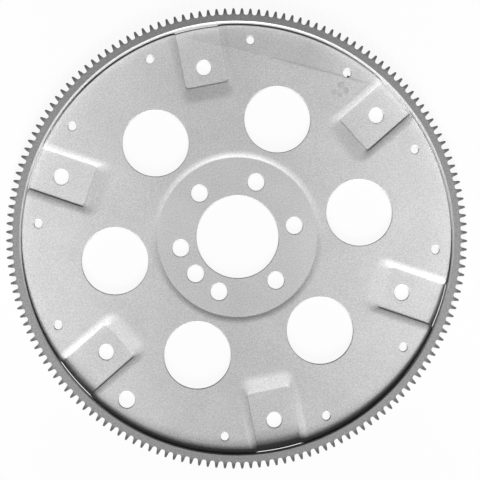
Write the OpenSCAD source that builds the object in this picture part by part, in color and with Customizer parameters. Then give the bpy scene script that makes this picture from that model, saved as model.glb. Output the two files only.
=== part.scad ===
// Flexplate: a pressed sheet-steel disc inside a welded starter ring gear.
// It lies flat with its engine side up. The origin is the centre of the crankshaft bore,
// on the face that seats against the crankshaft flange, and +Z points to the engine.

/* [Sheet] */
// Thickness of the sheet steel
sheet_thickness = 2.5; // [2:0.1:3.2]

/* [Crankshaft seat] */
// Radius of the flat seat for the crankshaft flange
seat_r = 62.9; // [58:0.1:66]
// How deep the seat is pressed below the web
seat_depth = 1.3; // [0.8:0.1:2]
// Bend radius between the seat and the web, on the engine side
seat_bend = 11.5; // [6:0.5:16]
// Diameter of the centre bore
bore_d = 64.5; // [56:0.1:70]
// Bolt circle diameter of the crankshaft bolts
crank_pcd = 90.93; // [86:0.01:96]
// Diameter of a crankshaft bolt hole
crank_hole_d = 13.2; // [10:0.1:15]
// Radius at which the locating hole lies
dowel_at_r = 43.9; // [42:0.1:48]
// Diameter of the locating hole
dowel_hole_d = 13.2; // [8:0.1:15]

/* [Web] */
// Radius at which the lightening holes lie
lightening_at_r = 97.7; // [95:0.1:99]
// Diameter of a lightening hole
lightening_d = 52; // [36:0.5:54]
// How far the small rim holes lie inside the rim
rim_hole_inset = 12.3; // [8:0.1:16]
// Diameter of a small rim hole
rim_hole_d = 6.4; // [4:0.1:9]
// How far the one large rim hole lies inside the rim
key_hole_inset = 14.8; // [12:0.1:18]
// Diameter of the one large rim hole
key_hole_d = 12.8; // [8:0.1:14]

/* [Converter pads] */
// Width of a pad's flat floor
pad_w = 32.2; // [26:0.1:36]
// Length of a pad's flat floor, from its ramp to the rim
pad_length = 46.3; // [42:0.05:50]
// How deep the pads are pressed below the web
pad_depth = 2.6; // [1.6:0.1:3.6]
// Bend radius along a pad's sides, on the engine side
pad_side_bend = 7; // [4:0.1:9]
// Bend radius of the ramp at a pad's inner end, on the engine side
pad_ramp_bend = 30; // [12:1:36]
// How far the holes of the smaller converter bolt circle lie inside the rim
converter_inset_a = 31.775; // [29:0.025:36]
// How far the holes of the larger converter bolt circle lie inside the rim
converter_inset_b = 22.25; // [19:0.025:26]
// Diameter of a converter bolt hole
converter_hole_d = 11.8; // [9:0.1:13]

/* [Ring gear] */
// Pitch circle diameter of the teeth, from which the ring and the disc take their size
pitch_d = 355.6; // [344:0.1:370]
// Number of starter teeth
tooth_count = 168; // [160:1:176]
// Pressure angle of the teeth
pressure_angle = 12; // [10:0.5:25]
// Height of a tooth above the pitch circle
addendum = 2.1; // [1.6:0.05:2.3]
// Depth of a tooth below the pitch circle
dedendum = 3; // [2.2:0.05:3.4]
// How much thinner a tooth is than half the pitch
tooth_thinning = 1; // [0:0.05:1.4]
// Bevel along a tooth's tip edges
tip_bevel = 0.45; // [0.1:0.05:0.6]
// Bevel that fills the corner at a tooth's root
root_bevel = 1; // [0.2:0.05:1.4]
// Wall of the ring between its bore and the tooth roots
ring_wall = 5.9; // [4:0.1:8]
// Face width of the ring
ring_w = 9.5; // [7:0.1:14]
// Chamfer on the engine side of the ring's bore
ring_chamfer = 0.8; // [0.4:0.1:2]
// Turn of the teeth against the bolt holes, in degrees
ring_turn = 0.5; // [0:0.05:2]

/* [Joint of disc and ring] */
// Gap all round between the disc's rim and the ring's bore
rim_gap = 0.6; // [0.1:0.05:0.8]
// How far the ring's back stands past the back of the web
ring_back_drop = 1.8; // [1.4:0.1:3]
// Size of a weld bead, from the corner that it fills to its skin
weld_leg = 1.7; // [1.2:0.1:2.2]
// Length of a weld bead along the ring's bore
weld_length = 38; // [20:1:60]

/* [Hidden] */
$fn = 96;

// Small overlap that carries a cut clear through a face
cut_over = 1;
// Most of an edge that the bevel at one of its corners may take
corner_share = 0.49;
// Height of a weld bead's crown along the line that halves its corner, as a share of its leg each way
weld_crown = 0.62;

// Crankshaft bolts, lightening holes and weld beads share the spokes, and the pads lie half way between
spoke_count = 6;
spoke_step = 360 / spoke_count;
pad_turn = spoke_step / 2;
// Rim holes stand half way between the spokes and the pads
rim_hole_count = 2 * spoke_count;
rim_hole_step = 360 / rim_hole_count;
rim_hole_turn = rim_hole_step / 2;
// The large rim hole takes this place among the rim holes, and stands a little behind it, in degrees
key_hole_place = 7;
key_hole_lag = 0.5;
// The locating hole's place among the crankshaft bolts, half way between two of them
dowel_place = 3.5;
dowel_turn = dowel_place * spoke_step;

// Heights, from the crankshaft seat at zero
web_front = seat_depth;
web_back = web_front - sheet_thickness;
ring_back = web_back - ring_back_drop;

// Radii of the ring and of the disc inside it
pitch_r = pitch_d / 2;
tip_r = pitch_r + addendum;
root_r = pitch_r - dedendum;
base_r = pitch_r * cos(pressure_angle);
ring_bore_r = root_r - ring_wall;
disc_r = ring_bore_r - rim_gap;

// Run of a bend that falls by depth from a flat face along an arc of the given radius
function bend_run(radius, depth) = sqrt(2 * radius * depth - depth * depth);
seat_end_r = seat_r + bend_run(seat_bend, seat_depth);
pad_half_w = pad_w / 2 + bend_run(pad_side_bend, pad_depth);
pad_start_r = disc_r - pad_length - bend_run(pad_ramp_bend, pad_depth);

// Involute function in degrees, and half a tooth's angle at radius r. Inside the base circle a flank is radial.
function involute(angle) = tan(angle) * 180 / PI - angle;
function roll_angle(r) = acos(min(1, base_r / r));
tooth_w = PI * pitch_d / tooth_count / 2 - tooth_thinning;
function half_tooth(r) =
    tooth_w / 2 / pitch_r * 180 / PI + involute(pressure_angle) - involute(roll_angle(r));

function polar(r, angle) = [r * cos(angle), r * sin(angle)];
function unit(v) = v / norm(v);

// The two points that bevel the corner at p between its neighbours a and b.
// A bevel takes less than half of either edge, whatever size is asked for.
function bevelled(a, p, b, size) =
    let (cut = min(size, corner_share * min(norm(a - p), norm(b - p))))
    [p + unit(a - p) * cut, p + unit(b - p) * cut];

// Outline of one tooth from its leading root to its trailing root, about the angle at
function tooth(at) =
    let (
        step = 360 / tooth_count,
        root_half = half_tooth(root_r),
        tip_half = half_tooth(tip_r),
        root_a = polar(root_r, at - root_half),
        tip_a = polar(tip_r, at - tip_half),
        tip_b = polar(tip_r, at + tip_half),
        root_b = polar(root_r, at + root_half)
    )
    concat(
        bevelled(polar(root_r, at - step + root_half), root_a, tip_a, root_bevel),
        bevelled(root_a, tip_a, tip_b, tip_bevel),
        bevelled(tip_a, tip_b, root_b, tip_bevel),
        bevelled(tip_b, root_b, polar(root_r, at + step - root_half), root_bevel)
    );

// Copies of the children around the axis, from turn onwards
module around(count, turn = 0) {
    for (i = [0 : count - 1])
        rotate(turn + i * 360 / count) children();
}

// Section of a pressing that falls from the web at x = reach along an arc, seen from the engine side.
// offset is zero for the engine side of the sheet and the sheet's thickness for its back.
module pressed_section(reach, inner, radius, depth, offset) {
    difference() {
        translate([inner, -depth - offset])
            square([reach - inner, depth + cut_over]);
        translate([reach, -radius])
            circle(radius - offset);
    }
}

// Space that the crankshaft seat takes below the web's engine face, or its back for an offset
module seat_pressing(offset = 0) {
    translate([0, 0, web_front])
        rotate_extrude()
            pressed_section(seat_end_r, 0, seat_bend, seat_depth, offset);
}

// Space that one converter pad takes below the web's engine face, or its back for an offset
module pad_pressing(offset = 0) {
    translate([0, 0, web_front])
        intersection() {
            rotate([90, 0, 90])
                linear_extrude(disc_r + cut_over) {
                    pressed_section(pad_half_w, -cut_over, pad_side_bend, pad_depth, offset);
                    mirror([1, 0])
                        pressed_section(pad_half_w, -cut_over, pad_side_bend, pad_depth, offset);
                }
            rotate([90, 0, 0])
                linear_extrude(2 * pad_half_w, center = true)
                    mirror([1, 0])
                        pressed_section(-pad_start_r, -disc_r - cut_over, pad_ramp_bend, pad_depth, offset);
        }
}

// A hole of diameter d straight through the sheet at any height of the pressing
module through_hole(d) {
    translate([0, 0, web_back - pad_depth - cut_over])
        cylinder(h = sheet_thickness + pad_depth + 2 * cut_over, d = d);
}

// The pressed blank before its holes are punched
module pressed_disc() {
    difference() {
        union() {
            translate([0, 0, web_back])
                cylinder(h = sheet_thickness, r = disc_r);
            seat_pressing(sheet_thickness);
            intersection() {
                around(spoke_count, pad_turn) pad_pressing(sheet_thickness);
                translate([0, 0, web_back - pad_depth])
                    cylinder(h = sheet_thickness + pad_depth, r = disc_r);
            }
        }
        seat_pressing();
        around(spoke_count, pad_turn) pad_pressing();
    }
}

module seat_holes() {
    through_hole(bore_d);
    around(spoke_count)
        translate([crank_pcd / 2, 0, 0]) through_hole(crank_hole_d);
    rotate(dowel_turn)
        translate([dowel_at_r, 0, 0]) through_hole(dowel_hole_d);
}

module web_holes() {
    around(spoke_count)
        translate([lightening_at_r, 0, 0]) through_hole(lightening_d);
    for (i = [0 : rim_hole_count - 1])
        if (i != key_hole_place)
            rotate(rim_hole_turn + i * rim_hole_step)
                translate([disc_r - rim_hole_inset, 0, 0]) through_hole(rim_hole_d);
    rotate(rim_hole_turn + key_hole_place * rim_hole_step - key_hole_lag)
        translate([disc_r - key_hole_inset, 0, 0]) through_hole(key_hole_d);
}

module converter_holes() {
    around(spoke_count / 2, pad_turn + spoke_step)
        translate([disc_r - converter_inset_a, 0, 0]) through_hole(converter_hole_d);
    around(spoke_count / 2, pad_turn)
        translate([disc_r - converter_inset_b, 0, 0]) through_hole(converter_hole_d);
}

module flex_disc() {
    color([0.78, 0.78, 0.78])
        difference() {
            pressed_disc();
            seat_holes();
            web_holes();
            converter_holes();
        }
}

module ring_gear() {
    color([0.45, 0.45, 0.45])
        translate([0, 0, ring_back])
            difference() {
                rotate(ring_turn)
                    linear_extrude(ring_w)
                        polygon([for (i = [0 : tooth_count - 1]) each tooth(i * 360 / tooth_count)]);
                rotate_extrude()
                    polygon([
                        [0, -cut_over],
                        [ring_bore_r, -cut_over],
                        [ring_bore_r, ring_w - ring_chamfer],
                        [ring_bore_r + ring_chamfer + cut_over, ring_w + cut_over],
                        [0, ring_w + cut_over]
                    ]);
            }
}

// One crowned fillet bead in the corner between the web's back and the ring's bore
module weld_bead() {
    sweep = weld_length / ring_bore_r * 180 / PI;
    rotate(-sweep / 2)
        rotate_extrude(angle = sweep)
            translate([ring_bore_r, 0])
                polygon(weld_leg * [[0, 0], [-1, 0], [-weld_crown, -weld_crown], [0, -1]]);
}

module ring_welds() {
    color([0.35, 0.34, 0.33])
        translate([0, 0, web_back])
            around(spoke_count) weld_bead();
}

flex_disc();
ring_gear();
ring_welds();
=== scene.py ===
import math

import bmesh
import bpy
from mathutils import Matrix, Vector, noise


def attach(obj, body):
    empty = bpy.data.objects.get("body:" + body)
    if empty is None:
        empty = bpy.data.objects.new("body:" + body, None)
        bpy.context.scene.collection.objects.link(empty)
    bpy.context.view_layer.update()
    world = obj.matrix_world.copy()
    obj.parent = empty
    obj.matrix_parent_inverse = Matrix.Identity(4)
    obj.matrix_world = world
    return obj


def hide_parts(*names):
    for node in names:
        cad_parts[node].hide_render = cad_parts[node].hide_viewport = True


# A flexplate lying on its converter pads, engine side up: pressed disc, starter ring and weld beads.
# Pieces are drawn in millimetres in the part's own frame, and scaled to metres when they are finished.
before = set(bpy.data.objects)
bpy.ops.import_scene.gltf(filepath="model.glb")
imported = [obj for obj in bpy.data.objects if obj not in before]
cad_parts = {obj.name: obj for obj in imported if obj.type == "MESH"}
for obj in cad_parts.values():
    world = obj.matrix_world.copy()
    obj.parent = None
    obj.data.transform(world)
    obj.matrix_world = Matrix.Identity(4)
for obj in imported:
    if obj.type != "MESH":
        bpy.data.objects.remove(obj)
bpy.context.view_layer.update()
mm = 0.001
up = (0, 0, 1)
origin = (0, 0, 0)
nearly = 1e-3  # millimetres or degrees within which two places count as one
print("frame loaded:", sorted(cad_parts))


def polar(radius, degrees, height=0.0):
    turn = math.radians(degrees)
    return Vector((radius * math.cos(turn), radius * math.sin(turn), height))


def addChain(bm, points):
    verts = [bm.verts.new(p) for p in points]
    return [bm.edges.new(pair) for pair in zip(verts, verts[1:])]


# Adds a finished part to a larger bmesh: an operator runs faster while its own bmesh is small
def joinInto(bm, part):
    carrier = bpy.data.meshes.new("carrier")
    part.to_mesh(carrier)
    part.free()
    bm.from_mesh(carrier)
    bpy.data.meshes.remove(carrier)


def spinChain(bm, points, centre, steps):
    part = bmesh.new()
    addChain(part, points)
    bmesh.ops.spin(part, geom=part.verts[:] + part.edges[:], cent=centre, axis=up, angle=math.tau,
                   steps=steps, use_merge=True)
    joinInto(bm, part)


def repeatAround(bm, count):
    geom = bm.verts[:] + bm.edges[:] + bm.faces[:]
    turn = math.tau * (count - 1) / count
    bmesh.ops.spin(bm, geom=geom, cent=origin, axis=up, angle=turn, steps=count - 1, use_duplicate=True)


def turnAll(bm, degrees):
    turned = Matrix.Rotation(math.radians(degrees), 3, "Z")
    bmesh.ops.rotate(bm, cent=origin, matrix=turned, verts=bm.verts)


def finishPiece(bm, name, node, sharpAngle, flats=()):
    for f in bm.faces:
        f.smooth = True
    for f in flats:
        f.smooth = False
    bmesh.ops.recalc_face_normals(bm, faces=bm.faces)
    for e in bm.edges:
        e.smooth = e.calc_face_angle(0) < math.radians(sharpAngle)
    bmesh.ops.scale(bm, vec=(mm, mm, mm), verts=bm.verts)
    openEdges = sum(1 for e in bm.edges if len(e.link_faces) != 2)
    mesh = bpy.data.meshes.new(name)
    bm.to_mesh(mesh)
    bm.free()
    piece = bpy.data.objects.new(name, mesh)
    bpy.context.scene.collection.objects.link(piece)
    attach(piece, "root")
    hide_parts(node)
    print(name, "faces", len(mesh.polygons), "open edges", openEdges)
    return piece


# Pressed disc: flats at three heights joined by bends, with punched edges rolled over on the engine side
disc = {
    "sheet": 2.5, "sharpAngle": 35.0,
    "webFront": 1.3, "seatFront": 0.0, "padFront": -1.3,
    "rimRadius": 168.7, "rimSteps": 64, "rimRoll": 1.5,
    "around": 6,  # pads, crank bolts and lightening holes
    "seatEdge": 68.21, "seatBend": 11.5, "seatFillet": 1.5, "seatSteps": 192,
    "firstPad": 30.0, "padSector": 25.0, "padEndSteps": 16,
    "padFloorHalf": 17.0, "padFloorStart": 122.0, "padPull": 0.3,
    "padSideBend": 13.0, "padSideSlope": 25.0, "padSideFoot": 1.1,
    "padRampBend": 30.0, "padRampSlope": 10.3, "padRampFoot": 0.5, "padFootLean": 0.15,
    "padBackBend": 4.5, "padRampBackBend": 29.0,
    "padFloorCorner": 3.0, "padTopCorner": 10.0, "padCornerSteps": 8,
    "bendLevels": (0, 0.01, 0.04, 0.09, 0.16, 0.25, 0.36, 0.49, 0.64, 0.81, 0.95, 1),
    # each hole has its distance from the axis and its radius
    "bore": (0.0, 32.25), "crankBolt": (45.465, 6.6), "lightening": (97.7, 26.0),
    "locating": (43.9, 6.6), "locatingTurn": 210.0,
    "converterNear": (136.525, 5.9), "converterFar": (146.05, 5.9),
    "rimHole": (156.0, 3.2), "rimHoles": 12, "firstRimHole": 15.0,
    "keyHole": (153.5, 6.4), "keyHoleTurn": 224.5, "keyHoleStep": 7,
    "smallHole": 10.0, "smallHoleSteps": 48, "largeHoleSteps": 128,
    "edgeRoll": 0.7, "edgeBurr": 0.12, "rollSteps": 4,
    "burrHoleTurn": 45.0, "burrAt": (110.65, 107.1), "burrReach": 1.1, "burrPull": 0.5,
}
padDepth = disc["webFront"] - disc["padFront"]
seatDepth = disc["webFront"] - disc["seatFront"]


# Sideways run of a bend once it has fallen so far: round over the top, then round into the foot
def bendRun(fallen, depth, upper, lower):
    turn = math.acos(1 - depth / (upper + lower))
    if fallen <= upper * (1 - math.cos(turn)):
        return math.sqrt(max(0, 2 * upper * fallen - fallen ** 2))
    left = depth - fallen
    return (upper + lower) * math.sin(turn) - math.sqrt(max(0, 2 * lower * left - left ** 2))


# Sideways run of a pad's wall that bends over, runs straight and ends in a short steep foot
def wallRun(fallen, bend, slope, foot):
    depth = padDepth - foot
    if fallen > depth:
        return wallRun(depth, bend, slope, foot) + disc["padFootLean"] * (fallen - depth)
    turn = math.radians(slope)
    over = bend * (1 - math.cos(turn))
    if fallen <= over:
        return math.sqrt(max(0, 2 * bend * fallen - fallen ** 2))
    return bend * math.sin(turn) + (fallen - over) / math.tan(turn)


# Edge rolled over by the press: steps from the flat out to the cut, as distance inside the cut and drop
def rolledEdge(roll):
    turns = [math.pi / 2 * i / disc["rollSteps"] for i in range(disc["rollSteps"] + 1)]
    return [(roll * (1 - math.sin(t)), roll * (1 - math.cos(t))) for t in turns]


# Wall of a punched hole, from the rolled front edge to the burred back edge
def punchHole(bm, name, degrees, front):
    fromAxis, radius = disc[name]
    burr = disc["edgeBurr"]
    back = front - disc["sheet"]
    wall = [(radius + inset, front - drop) for inset, drop in rolledEdge(disc["edgeRoll"])]
    wall += [(radius, back + burr), (radius + burr, back)]
    centre = polar(fromAxis, degrees)
    points = [centre + Vector((r, 0, z)) for r, z in wall]
    steps = disc["smallHoleSteps"] if radius < disc["smallHole"] else disc["largeHoleSteps"]
    spinChain(bm, points, centre, steps)


# Rim of the disc along one stretch, from the flat over the rolled edge to the cut
def rimStrip(bm, rim, edge, first, last, steps, height):
    rows = []
    for inset, drop in edge:
        radius = rim - inset
        angles = [math.asin(w / radius) + k for w, k in (first, last)]
        turns = [math.degrees(angles[0] + (angles[1] - angles[0]) * i / steps) for i in range(steps + 1)]
        rows.append(addChain(bm, [polar(radius, t, height - drop) for t in turns]))
    for inner, outer in zip(rows, rows[1:]):
        bmesh.ops.bridge_loops(bm, edges=inner + outer)


# Runs of a pad's side and ramp on the front of the sheet, or on its back, where the bends are rounder
def padRuns(fallen, back):
    if back:
        return (bendRun(fallen, padDepth, disc["padBackBend"], disc["sheet"]),
                bendRun(fallen, padDepth, disc["padRampBackBend"], disc["sheet"]))
    return (wallRun(fallen, disc["padSideBend"], disc["padSideSlope"], disc["padSideFoot"]),
            wallRun(fallen, disc["padRampBend"], disc["padRampSlope"], disc["padRampFoot"]))


# Outline of a pad at one level: half width, rim, which drawing the pad pulled in, inner end and its corners
def padOutline(fallen, back):
    side, ramp = padRuns(fallen, back)
    sideAll, rampAll = padRuns(padDepth, back)
    half = disc["padFloorHalf"] + sideAll - side
    rim = disc["rimRadius"] - disc["padPull"] * fallen / padDepth
    start = disc["padFloorStart"] - rampAll + ramp
    corner = disc["padFloorCorner"] + (disc["padTopCorner"] - disc["padFloorCorner"]) * (1 - ramp / rampAll)
    return half, rim, start, corner


# One level of a pad's wall, from the rim round the inner end and back to the rim
def padChain(bm, fallen, back, height, edge):
    half, rim, start, corner = padOutline(fallen, back)
    steps = disc["padCornerSteps"]
    turns = [math.pi / 2 * i / steps for i in range(steps + 1)]
    wall = [(math.sqrt((rim - inset) ** 2 - half ** 2), half, height - drop)
            for inset, drop in reversed(edge)]
    wall += [(start + corner * (1 - math.sin(t)), half - corner * (1 - math.cos(t)), height) for t in turns]
    return addChain(bm, wall + [(x, -y, z) for x, y, z in reversed(wall)])


# First pad's wall on each side of the sheet with its stretch of rim, then the others turned round the axis
def pressPads(bm):
    falls = [level * (padDepth - disc["padSideFoot"]) for level in disc["bendLevels"]]
    falls += [padDepth - disc["padRampFoot"], padDepth]
    nextPad = math.tau / disc["around"]
    for offset, edge in ((0, rolledEdge(disc["rimRoll"])), (disc["sheet"], [(0, 0)])):
        height = disc["webFront"] - offset
        back = offset > 0
        walls = [padChain(bm, fallen, back, height - fallen, edge) for fallen in falls]
        for above, below in zip(walls, walls[1:]):
            bmesh.ops.bridge_loops(bm, edges=above + below)
        top, webRim = padOutline(0, back)[:2]
        floor, padRim = padOutline(padDepth, back)[:2]
        rimStrip(bm, webRim, edge, (top, 0), (-top, nextPad), disc["rimSteps"], height)
        rimStrip(bm, padRim, edge, (-floor, 0), (floor, 0), disc["padEndSteps"], height - padDepth)
    turnAll(bm, disc["firstPad"])
    repeatAround(bm, disc["around"])


# Bend down to the crankshaft seat on each side of the sheet
def pressSeat(bm):
    for offset in (0, disc["sheet"]):
        upper = disc["seatBend"] - offset
        lower = disc["seatFillet"] + offset
        section = []
        for level in disc["bendLevels"]:
            run = bendRun(level * seatDepth, seatDepth, upper, lower)
            section.append((disc["seatEdge"] - run, 0, disc["webFront"] - offset - level * seatDepth))
        spinChain(bm, section, origin, disc["seatSteps"])


def punchHoles(bm):
    punchHole(bm, "bore", 0, disc["seatFront"])
    punchHole(bm, "locating", disc["locatingTurn"], disc["seatFront"])
    for k in range(disc["around"]):
        turn = 360 / disc["around"] * k
        converter = "converterFar" if k % 2 == 0 else "converterNear"
        punchHole(bm, "crankBolt", turn, disc["seatFront"])
        punchHole(bm, "lightening", turn, disc["webFront"])
        punchHole(bm, converter, disc["firstPad"] + turn, disc["padFront"])
    for k in range(disc["rimHoles"]):
        if k == disc["keyHoleStep"]:
            punchHole(bm, "keyHole", disc["keyHoleTurn"], disc["webFront"])
        else:
            turn = disc["firstRimHole"] + 360 / disc["rimHoles"] * k
            punchHole(bm, "rimHole", turn, disc["webFront"])


# Burr standing into one rim hole
def raiseBurr(bm):
    hole = polar(disc["rimHole"][0], disc["burrHoleTurn"]).xy
    for v in bm.verts:
        near = 1 - (v.co.xy - Vector(disc["burrAt"])).length / disc["burrReach"]
        if near > 0:
            v.co.xy += (hole - v.co.xy) * disc["burrPull"] * near


# Fills the flat at one height, or the part of it that lies round one angle
def fillFlat(bm, height, degrees=None):
    def onFlat(e):
        if len(e.link_faces) > 1 or any(abs(v.co.z - height) > nearly for v in e.verts):
            return False
        if degrees is None:
            return True
        mid = (e.verts[0].co + e.verts[1].co) / 2
        away = math.degrees(math.atan2(mid.y, mid.x)) - degrees
        return abs((away + 180) % 360 - 180) < disc["padSector"]
    edges = [e for e in bm.edges if onFlat(e)]
    made = bmesh.ops.triangle_fill(bm, use_beauty=True, use_dissolve=False, edges=edges, normal=up)
    return [g for g in made["geom"] if isinstance(g, bmesh.types.BMFace)]


def makeDisc():
    bm = bmesh.new()
    pressPads(bm)
    pressSeat(bm)
    punchHoles(bm)
    raiseBurr(bm)
    bmesh.ops.remove_doubles(bm, verts=bm.verts, dist=nearly)
    # flats between the bends and the holes, then the cut rim
    flats = []
    for offset in (0, disc["sheet"]):
        flats += fillFlat(bm, disc["webFront"] - offset)
        flats += fillFlat(bm, disc["seatFront"] - offset)
        for k in range(disc["around"]):
            flats += fillFlat(bm, disc["padFront"] - offset, disc["firstPad"] + 360 / disc["around"] * k)
    bmesh.ops.bridge_loops(bm, edges=[e for e in bm.edges if e.is_boundary])
    return finishPiece(bm, "pressed_disc", "flex_disc", disc["sharpAngle"], flats)


# Starter ring: one tooth cell, repeated round the pitch circle
ring = {
    "teeth": 168, "pitchRadius": 177.8, "pressureAngle": 12.0, "addendum": 2.1, "dedendum": 3.0,
    "thinning": 1.0, "boreRadius": 168.9, "back": -3.0, "front": 6.5, "turn": 0.5, "flankSteps": 3,
    "tipRound": 0.5, "tipSteps": 2, "rootRound": 1.3, "rootSteps": 3, "endBreak": 0.3,
    "boreChamfer": 0.8, "boreBreak": 0.25, "boreBand": 2.0, "sharpAngle": 40.0,
}


def halfTooth(radius):
    def involute(angle):
        return math.tan(angle) - angle
    pressure = math.radians(ring["pressureAngle"])
    width = math.pi * ring["pitchRadius"] / ring["teeth"] - ring["thinning"]
    roll = math.acos(ring["pitchRadius"] * math.cos(pressure) / radius)
    return math.degrees(width / 2 / ring["pitchRadius"] + involute(pressure) - involute(roll))


def breakEdges(bm, edges, offset, segments=1):
    bmesh.ops.bevel(bm, geom=edges, offset=offset, affect="EDGES", segments=segments, profile=0.5,
                    material=-1)


def makeRing():
    bm = bmesh.new()
    step = 360 / ring["teeth"]
    tip = ring["pitchRadius"] + ring["addendum"]
    root = ring["pitchRadius"] - ring["dedendum"]
    bore = ring["boreRadius"]
    flank = [root + (tip - root) * i / ring["flankSteps"] for i in range(ring["flankSteps"] + 1)]
    outline = [polar(bore, step * share) for share in (0.5, 0.25, 0, -0.25, -0.5)]
    outline += [polar(root, -step / 2)] + [polar(r, -halfTooth(r)) for r in flank]
    outline += [polar(r, halfTooth(r)) for r in reversed(flank)] + [polar(root, step / 2)]
    cell = bm.faces.new([bm.verts.new(p + Vector((0, 0, ring["back"]))) for p in outline])
    raised = bmesh.ops.extrude_face_region(bm, geom=[cell], use_keep_orig=True)["geom"]
    raisedVerts = [g for g in raised if isinstance(g, bmesh.types.BMVert)]
    bmesh.ops.translate(bm, vec=(0, 0, ring["front"] - ring["back"]), verts=raisedVerts)

    def turnOf(co):
        return abs(math.degrees(math.atan2(co.y, co.x)))

    # the two cut sides of the cell stay open, and meet the next cells
    sides = [f for f in bm.faces if abs(turnOf(f.calc_center_median()) - step / 2) < nearly]
    bmesh.ops.delete(bm, geom=sides, context="FACES")

    def standing(radius, turn):
        return [e for e in bm.edges if (e.verts[0].co - e.verts[1].co).xy.length < nearly
                and abs(e.verts[0].co.xy.length - radius) < nearly
                and abs(turnOf(e.verts[0].co) - turn) < nearly]

    breakEdges(bm, standing(tip, halfTooth(tip)), ring["tipRound"], ring["tipSteps"])
    breakEdges(bm, standing(root, halfTooth(root)), ring["rootRound"], ring["rootSteps"])
    repeatAround(bm, ring["teeth"])
    bmesh.ops.remove_doubles(bm, verts=bm.verts, dist=nearly)
    turnAll(bm, ring["turn"])
    bmesh.ops.recalc_face_normals(bm, faces=bm.faces)

    def endEdges(height, outer):
        return [e for e in bm.edges if all(abs(v.co.z - height) < nearly for v in e.verts)
                and all((v.co.xy.length > bore + ring["boreBand"]) == outer for v in e.verts)
                and e.calc_face_angle(0) > math.radians(ring["sharpAngle"])]

    for height in (ring["front"], ring["back"]):
        breakEdges(bm, endEdges(height, True), ring["endBreak"])
    for height, cut in ((ring["front"], ring["boreChamfer"]), (ring["back"], ring["boreBreak"])):
        breakEdges(bm, endEdges(height, False), cut)
    # the bore and its chamfers take the second material
    for f in bm.faces:
        f.material_index = int(f.calc_center_median().xy.length < bore + ring["boreChamfer"])
    return finishPiece(bm, "starter_ring", "ring_gear", ring["sharpAngle"])


# Weld beads behind the disc: a fillet run with a ripple for each drop of weld, and a rounded start and end
bead = {
    "count": 6, "cornerRadius": 168.9, "cornerHeight": -1.2, "leg": 1.7, "crown": 0.36, "sectionSteps": 6,
    "length": 38.0, "steps": 190, "endSize": 0.25, "sharpAngle": 60.0,
    "ripple": 1.5, "rippleDepth": 0.13, "rippleDrift": 0.15, "driftScale": 0.4,
    "wander": 0.05, "wanderScale": 0.25, "wanderSeed": 7,
}


# Size of a bead at a place along it, as a share of its full section
def beadSize(along, k):
    fromEnd = min(along, bead["length"] - along)
    grow = 1.0
    if fromEnd < bead["leg"]:
        rounded = math.sqrt(max(0, 1 - (1 - fromEnd / bead["leg"]) ** 2))
        grow = bead["endSize"] + (1 - bead["endSize"]) * rounded
    uneven = bead["rippleDrift"] * noise.noise((along * bead["driftScale"], k, 0))
    phase = (along / bead["ripple"] + uneven) % 1
    dip = bead["rippleDepth"] * (1 - math.sqrt(max(0, 1 - (2 * phase - 1) ** 2)))
    drift = bead["wander"] * noise.noise((along * bead["wanderScale"], bead["wanderSeed"] + k, 0))
    return grow * (1 - dip + drift)


def makeBeads():
    bm = bmesh.new()
    corner = Vector((bead["cornerRadius"], 0, bead["cornerHeight"]))
    skin = []
    for i in range(bead["sectionSteps"] + 1):
        share = i / bead["sectionSteps"]
        turn = math.pi / 2 * share
        flat = Vector((share - 1, 0, -share))
        crowned = Vector((-math.cos(turn), 0, -math.sin(turn)))
        skin.append(corner + bead["leg"] * flat.lerp(crowned, bead["crown"]))
    sweep = bead["length"] / bead["cornerRadius"]
    for k in range(bead["count"]):
        part = bmesh.new()
        section = [part.verts.new(p) for p in [corner] + skin]
        edges = [part.edges.new(pair) for pair in zip(section, section[1:] + section[:1])]
        bmesh.ops.spin(part, geom=section + edges, cent=origin, axis=up, angle=sweep, steps=bead["steps"])
        for v in part.verts:
            along = math.atan2(v.co.y, v.co.x) * bead["cornerRadius"]
            home = Vector((v.co.x, v.co.y, 0)).normalized() * bead["cornerRadius"]
            home.z = bead["cornerHeight"]
            v.co = home + (v.co - home) * beadSize(along, k)
        bmesh.ops.holes_fill(part, edges=[e for e in part.edges if e.is_boundary])
        turnAll(part, 360 / bead["count"] * k - math.degrees(sweep / 2))
        joinInto(bm, part)
    return finishPiece(bm, "weld_beads", "ring_welds", bead["sharpAngle"])


# Colours are written as sRGB hex, and turned to linear here
def colour(hexValue):
    parts = [int(hexValue[i:i + 2], 16) / 255 for i in (1, 3, 5)]
    linear = [p / 12.92 if p <= 0.04045 else ((p + 0.055) / 1.055) ** 2.4 for p in parts]
    return (*linear, 1.0)


# Adds one node: inputs are values or sockets to link from, stops a ramp's colours, settings its attributes
def addNode(tree, kind, inputs=None, stops=(), **settings):
    node = tree.nodes.new(kind)
    for key, value in settings.items():
        setattr(node, key, value)
    for i, (position, value) in enumerate(stops):
        if i >= len(node.color_ramp.elements):
            node.color_ramp.elements.new(position)
        node.color_ramp.elements[i].position = position
        node.color_ramp.elements[i].color = value
    for key, value in (inputs or {}).items():
        if isinstance(value, bpy.types.NodeSocket):
            tree.links.new(value, node.inputs[key])
        else:
            node.inputs[key].default_value = value
    return node


def newMaterial(name):
    material = bpy.data.materials.new(name)
    material.use_nodes = True
    tree = material.node_tree
    tree.nodes.clear()
    shader = addNode(tree, "ShaderNodeBsdfPrincipled")
    addNode(tree, "ShaderNodeOutputMaterial", {"Surface": shader.outputs["BSDF"]})
    place = addNode(tree, "ShaderNodeTexCoord").outputs["Object"]
    return material, tree, shader, place


def axisDistance(tree, place):
    flat = addNode(tree, "ShaderNodeVectorMath", {0: place, 1: (1, 1, 0)}, operation="MULTIPLY")
    reach = addNode(tree, "ShaderNodeVectorMath", {0: flat.outputs["Vector"]}, operation="LENGTH")
    return reach.outputs["Value"]


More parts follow.
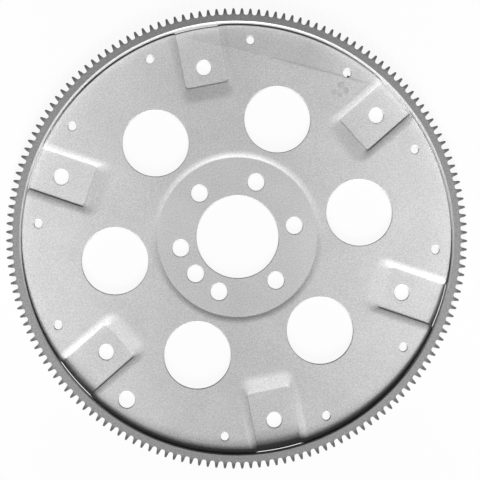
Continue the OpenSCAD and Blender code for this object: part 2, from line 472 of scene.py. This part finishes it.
# Wear on the sheet, drawn as arcs that fade out towards their reach round a middle, in millimetres
tideCentre = polar(-2856, 64.8)  # so far off that its arcs are nearly straight
markFade = 0.6
sheetMarks = (
    # stain near the rim and its tide line
    {"centre": tideCentre, "radius": 3020.0, "width": 20.0,
     "middle": (40, 152, 0), "reach": 80.0, "dark": 0.1},
    {"centre": tideCentre, "radius": 3000.0, "width": 1.0,
     "middle": (93, 115, 0), "reach": 48.0, "dark": 0.16},
    # light scuffs beside a rim hole
    {"centre": (104.0, 101.5, 0), "radius": 2.4, "width": 0.9,
     "middle": (103.5, 103.0, 0), "reach": 4.5, "dark": 0.2},
    {"centre": (106.3, 97.0, 0), "radius": 2.2, "width": 0.9,
     "middle": (108.0, 97.0, 0), "reach": 4.5, "dark": 0.22},
    {"centre": (97.4, 97.4, 0), "radius": 0.0, "width": 2.6,
     "middle": (97.4, 97.4, 0), "reach": 4.5, "dark": 0.14},
    {"centre": (101.4, 94.6, 0), "radius": 1.4, "width": 0.9,
     "middle": (101.4, 94.6, 0), "reach": 4.0, "dark": 0.16},
    # black of the burr on that hole's edge
    {"centre": (110.7, 107.8, 1), "radius": 0.0, "width": 1.4,
     "middle": (110.7, 107.8, 1), "reach": 3.0, "dark": 1.0},
)


def addMarks(tree, place, tint):
    for mark in sheetMarks:
        centre = Vector(mark["centre"]) * mm
        middle = Vector(mark["middle"]) * mm
        reach = mark["reach"] * mm
        away = addNode(tree, "ShaderNodeVectorMath", {0: place, 1: centre}, operation="DISTANCE")
        onArc = addNode(tree, "ShaderNodeMath", {0: away.outputs["Value"], 1: mark["radius"] * mm,
                                                 2: mark["width"] * mm}, operation="COMPARE")
        near = addNode(tree, "ShaderNodeVectorMath", {0: place, 1: middle}, operation="DISTANCE")
        fade = addNode(tree, "ShaderNodeMapRange", {"Value": near.outputs["Value"],
                                                    "From Min": markFade * reach, "From Max": reach,
                                                    "To Min": mark["dark"], "To Max": 0.0})
        share = addNode(tree, "ShaderNodeMath", {0: onArc.outputs[0], 1: fade.outputs["Result"]},
                        operation="MULTIPLY")
        tint = addNode(tree, "ShaderNodeMix", {"Factor": share.outputs[0], "A": tint,
                                               "B": colour("#101010")}, data_type="RGBA").outputs["Result"]
    return tint


# Cold-rolled sheet steel, pressed and left dull: pale matt grey with faint clouds and a pebbled grain,
# which is drawn coarser than the real one so that it shows
def sheetSteel():
    material, tree, shader, place = newMaterial("cold_rolled_sheet_steel")
    grain = addNode(tree, "ShaderNodeTexNoise", {"Vector": place, "Scale": 1 / (1.1 * mm), "Detail": 3.0,
                                                 "Roughness": 0.65})
    cloud = addNode(tree, "ShaderNodeTexNoise", {"Vector": place, "Scale": 1 / (38 * mm), "Detail": 4.0,
                                                 "Roughness": 0.55})
    fine = addNode(tree, "ShaderNodeValToRGB", {"Fac": grain.outputs["Fac"]},
                   stops=((0.3, colour("#BABABA")), (0.7, colour("#E2E2E2"))))
    wide = addNode(tree, "ShaderNodeValToRGB", {"Fac": cloud.outputs["Fac"]},
                   stops=((0.3, colour("#F4F4F4")), (0.7, colour("#FFFFFF"))))
    tint = addNode(tree, "ShaderNodeMix", {"Factor": 1.0, "A": fine.outputs["Color"],
                                           "B": wide.outputs["Color"]},
                   data_type="RGBA", blend_type="MULTIPLY")
    worn = addMarks(tree, place, tint.outputs["Result"])
    # painted shade in the joint with the ring towards +Y, where the rolled rim faces away from the light;
    # the bore's painted shade lies on the opposite side
    rim = addNode(tree, "ShaderNodeMapRange", {"Value": axisDistance(tree, place), "From Min": 166.8 * mm,
                                               "From Max": 167.6 * mm, "To Min": 0.0, "To Max": 1.0})
    side = addNode(tree, "ShaderNodeSeparateXYZ", {"Vector": place})
    along = addNode(tree, "ShaderNodeMapRange", {"Value": side.outputs["Y"], "From Min": 95 * mm,
                                                 "From Max": 140 * mm, "To Min": 0.0, "To Max": 1.0})
    paintedShade = addNode(tree, "ShaderNodeMath", {0: rim.outputs["Result"], 1: along.outputs["Result"]},
                    operation="MULTIPLY")
    # painted shade: near-black mixed into the rim's edge on that side
    rimShaded = addNode(tree, "ShaderNodeMix", {"Factor": paintedShade.outputs[0], "A": worn, "B": colour("#242424")},
                    data_type="RGBA")
    tree.links.new(rimShaded.outputs["Result"], shader.inputs["Base Color"])
    bump = addNode(tree, "ShaderNodeBump", {"Height": grain.outputs["Fac"], "Strength": 0.25,
                                            "Distance": 0.05 * mm})
    tree.links.new(bump.outputs["Normal"], shader.inputs["Normal"])
    shader.inputs["Metallic"].default_value = 0.2
    shader.inputs["Roughness"].default_value = 0.6
    return material


# Hardened ring steel: darker, duller and grainier than the sheet, and darker still towards the teeth,
# with its grain drawn coarse enough to show
def gearSteel():
    material, tree, shader, place = newMaterial("hardened_gear_steel")
    grain = addNode(tree, "ShaderNodeTexNoise", {"Vector": place, "Scale": 1 / (1.3 * mm), "Detail": 3.0,
                                                 "Roughness": 0.7})
    fine = addNode(tree, "ShaderNodeValToRGB", {"Fac": grain.outputs["Fac"]},
                   stops=((0.3, colour("#868686")), (0.7, colour("#B0B0B0"))))
    towardTeeth = addNode(tree, "ShaderNodeMapRange", {"Value": axisDistance(tree, place), "From Min": 174.2 * mm,
                                                "From Max": 177.2 * mm, "To Min": 0.0, "To Max": 1.0})
    tint = addNode(tree, "ShaderNodeMix", {"Factor": towardTeeth.outputs["Result"], "A": fine.outputs["Color"],
                                           "B": colour("#6E6E6E")}, data_type="RGBA")
    tree.links.new(tint.outputs["Result"], shader.inputs["Base Color"])
    bump = addNode(tree, "ShaderNodeBump", {"Height": grain.outputs["Fac"], "Strength": 0.4,
                                            "Distance": 0.08 * mm})
    tree.links.new(bump.outputs["Normal"], shader.inputs["Normal"])
    shader.inputs["Metallic"].default_value = 0.5
    shader.inputs["Roughness"].default_value = 0.55
    return material


# Turned bore of the ring: bright cut steel, with painted shade darkening it towards -Y, where the ring's
# own shadow falls
def turnedSteel():
    material, tree, shader, place = newMaterial("turned_bore_steel")
    grain = addNode(tree, "ShaderNodeTexNoise", {"Vector": place, "Scale": 1 / (0.9 * mm), "Detail": 2.0})
    fine = addNode(tree, "ShaderNodeValToRGB", {"Fac": grain.outputs["Fac"]},
                   stops=((0.3, colour("#D0D0D0")), (0.7, colour("#E6E6E6"))))
    side = addNode(tree, "ShaderNodeSeparateXYZ", {"Vector": place})
    # painted shade: the bore goes grey towards -Y
    paintedShade = addNode(tree, "ShaderNodeMapRange", {"Value": side.outputs["Y"], "From Min": -85 * mm,
                                                 "From Max": -140 * mm, "To Min": 0.0, "To Max": 1.0})
    tint = addNode(tree, "ShaderNodeMix", {"Factor": paintedShade.outputs["Result"], "A": fine.outputs["Color"],
                                           "B": colour("#868686")}, data_type="RGBA")
    tree.links.new(tint.outputs["Result"], shader.inputs["Base Color"])
    shader.inputs["Metallic"].default_value = 0.35
    shader.inputs["Roughness"].default_value = 0.4
    return material


# Bare weld metal: dull grey-brown with a heat-tinted skin in patches
def weldMetal():
    material, tree, shader, place = newMaterial("bare_weld_metal")
    scale = addNode(tree, "ShaderNodeTexNoise", {"Vector": place, "Scale": 1 / (2.2 * mm), "Detail": 3.0})
    tint = addNode(tree, "ShaderNodeValToRGB", {"Fac": scale.outputs["Fac"]},
                   stops=((0.3, colour("#6B6661")), (0.6, colour("#8D8A87")), (0.75, colour("#9C8E7C"))))
    tree.links.new(tint.outputs["Color"], shader.inputs["Base Color"])
    bump = addNode(tree, "ShaderNodeBump", {"Height": scale.outputs["Fac"], "Strength": 0.3,
                                            "Distance": 0.1 * mm})
    tree.links.new(bump.outputs["Normal"], shader.inputs["Normal"])
    shader.inputs["Metallic"].default_value = 1.0
    shader.inputs["Roughness"].default_value = 0.5
    return material


for piece, finishes in ((makeDisc(), [sheetSteel()]), (makeRing(), [gearSteel(), turnedSteel()]),
                        (makeBeads(), [weldMetal()])):
    for material in finishes:
        piece.data.materials.append(material)
print("pieces dressed")


# Camera as fitted to the holes in the photograph, one metre above the web
view = {
    "roll": 11.24, "tiltX": -2.655, "tiltY": 1.696, "shift": (-1.834, 2.4786, -1000.0),
    "lens": 95.67, "sensor": 36.0,
}


def placeCamera():
    turned = (Matrix.Rotation(math.radians(view["tiltY"]), 3, "Y")
              @ Matrix.Rotation(math.radians(view["tiltX"]), 3, "X")
              @ Matrix.Rotation(math.radians(view["roll"]), 3, "Z"))
    facing = turned.transposed()
    spot = -(facing @ Vector(view["shift"])) + Vector((0, 0, disc["webFront"]))
    data = bpy.data.cameras.new("camera")
    data.lens = view["lens"]
    data.sensor_width = view["sensor"]
    data.dof.use_dof = False
    camera = bpy.data.objects.new("camera", data)
    camera.matrix_world = Matrix.Translation(spot * mm) @ facing.to_4x4()
    bpy.context.scene.collection.objects.link(camera)
    bpy.context.scene.camera = camera
    return camera


camera = placeCamera()

# White table: it looks white to the camera, and in the metal too beyond the strip that the part shades
stage = {
    "floorHeight": -3.8, "radius": 20000.0, "segments": 96, "shade": 185.0, "white": 0.94,
    "worldLight": 0.065,
}


def stageMaterial():
    material = bpy.data.materials.new("white_table")
    material.use_nodes = True
    tree = material.node_tree
    tree.nodes.clear()
    path = addNode(tree, "ShaderNodeLightPath")
    place = addNode(tree, "ShaderNodeTexCoord").outputs["Object"]
    reach = addNode(tree, "ShaderNodeVectorMath", {0: place}, operation="LENGTH").outputs["Value"]
    clear = addNode(tree, "ShaderNodeMath", {0: reach, 1: stage["shade"] * mm}, operation="GREATER_THAN")
    mirrored = addNode(tree, "ShaderNodeMath", {0: path.outputs["Is Glossy Ray"], 1: clear.outputs[0]},
                       operation="MULTIPLY")
    direct = addNode(tree, "ShaderNodeMath", {0: path.outputs["Is Camera Ray"], 1: mirrored.outputs[0]},
                     operation="MAXIMUM")
    seen = addNode(tree, "ShaderNodeMath", {0: direct.outputs[0], 1: path.outputs["Is Transmission Ray"]},
                   operation="MAXIMUM")
    share = addNode(tree, "ShaderNodeMath", {0: seen.outputs[0], 1: stage["white"]}, operation="MULTIPLY")
    cloth = addNode(tree, "ShaderNodeBsdfDiffuse", {"Color": colour("#D8D8D8")})
    glow = addNode(tree, "ShaderNodeEmission", {"Color": (1, 1, 1, 1), "Strength": 1.0})
    mixed = addNode(tree, "ShaderNodeMixShader", {0: share.outputs[0], 1: cloth.outputs[0],
                                                  2: glow.outputs[0]})
    addNode(tree, "ShaderNodeOutputMaterial", {"Surface": mixed.outputs[0]})
    return material


def makeStage():
    bm = bmesh.new()
    bmesh.ops.create_circle(bm, cap_ends=True, radius=stage["radius"], segments=stage["segments"])
    bmesh.ops.translate(bm, vec=(0, 0, stage["floorHeight"]), verts=bm.verts)
    bmesh.ops.scale(bm, vec=(mm, mm, mm), verts=bm.verts)
    mesh = bpy.data.meshes.new("table")
    bm.to_mesh(mesh)
    bm.free()
    floor = bpy.data.objects.new("table", mesh)
    floor.data.materials.append(stageMaterial())
    bpy.context.scene.collection.objects.link(floor)


makeStage()

# Far key light from the foot of the picture in three rows, and three spots from there that lift the left,
# the right and the upper half; heights are in degrees, aims in millimetres across the picture
lamps = {
    "keyLow": {"toward": (0.0, -1.0), "height": 25.0, "away": 9.0, "size": (1.6, 1.6), "power": 430.0},
    "keyMiddle": {"toward": (0.06, -1.0), "height": 37.0, "away": 9.0, "size": (1.6, 1.8), "power": 455.0},
    "keyHigh": {"toward": (0.06, -1.0), "height": 49.0, "away": 9.0, "size": (1.6, 1.6), "power": 190.0},
    "leftSpot": {"toward": (0.0, -1.0), "height": 36.0, "away": 3.0, "aim": (-300, 40),
                 "cone": 11.0, "soft": 0.1, "power": 350.0},
    "rightSpot": {"toward": (0.0, -1.0), "height": 36.0, "away": 3.0, "aim": (300, 40),
                  "cone": 11.0, "soft": 0.1, "power": 345.0},
    "topSpot": {"toward": (0.0, -1.0), "height": 36.0, "away": 3.0, "aim": (35, 95),
                "cone": 6.0, "soft": 0.1, "power": 50.0},
}


def acrossPicture(x, y):
    level = camera.matrix_world.to_3x3() @ Vector((x, y, 0))
    level.z = 0
    return level


def placeLamp(name, lamp):
    rise = math.radians(lamp["height"])
    target = acrossPicture(*lamp.get("aim", (0, 0))) * mm
    sideways = acrossPicture(*lamp["toward"]).normalized()
    away = (sideways * math.cos(rise) + Vector((0, 0, math.sin(rise)))) * lamp["away"]
    data = bpy.data.lights.new(name, "SPOT" if "cone" in lamp else "AREA")
    if "cone" in lamp:
        data.spot_size = math.radians(lamp["cone"])
        data.spot_blend = 1.0
        data.shadow_soft_size = lamp["soft"]
    else:
        data.shape = "RECTANGLE"
        data.size, data.size_y = lamp["size"]
    data.energy = lamp["power"]
    light = bpy.data.objects.new(name, data)
    facing = (-away).to_track_quat("-Z", "Y").to_matrix().to_4x4()
    light.matrix_world = Matrix.Translation(target + away) @ facing
    bpy.context.scene.collection.objects.link(light)


for name, lamp in lamps.items():
    placeLamp(name, lamp)

world = bpy.data.worlds.new("studio")
world.use_nodes = True
background = world.node_tree.nodes["Background"]
background.inputs["Color"].default_value = (1, 1, 1, 1)
background.inputs["Strength"].default_value = stage["worldLight"]
bpy.context.scene.world = world
bpy.context.scene.view_settings.view_transform = "Standard"
print("camera, table and light placed")
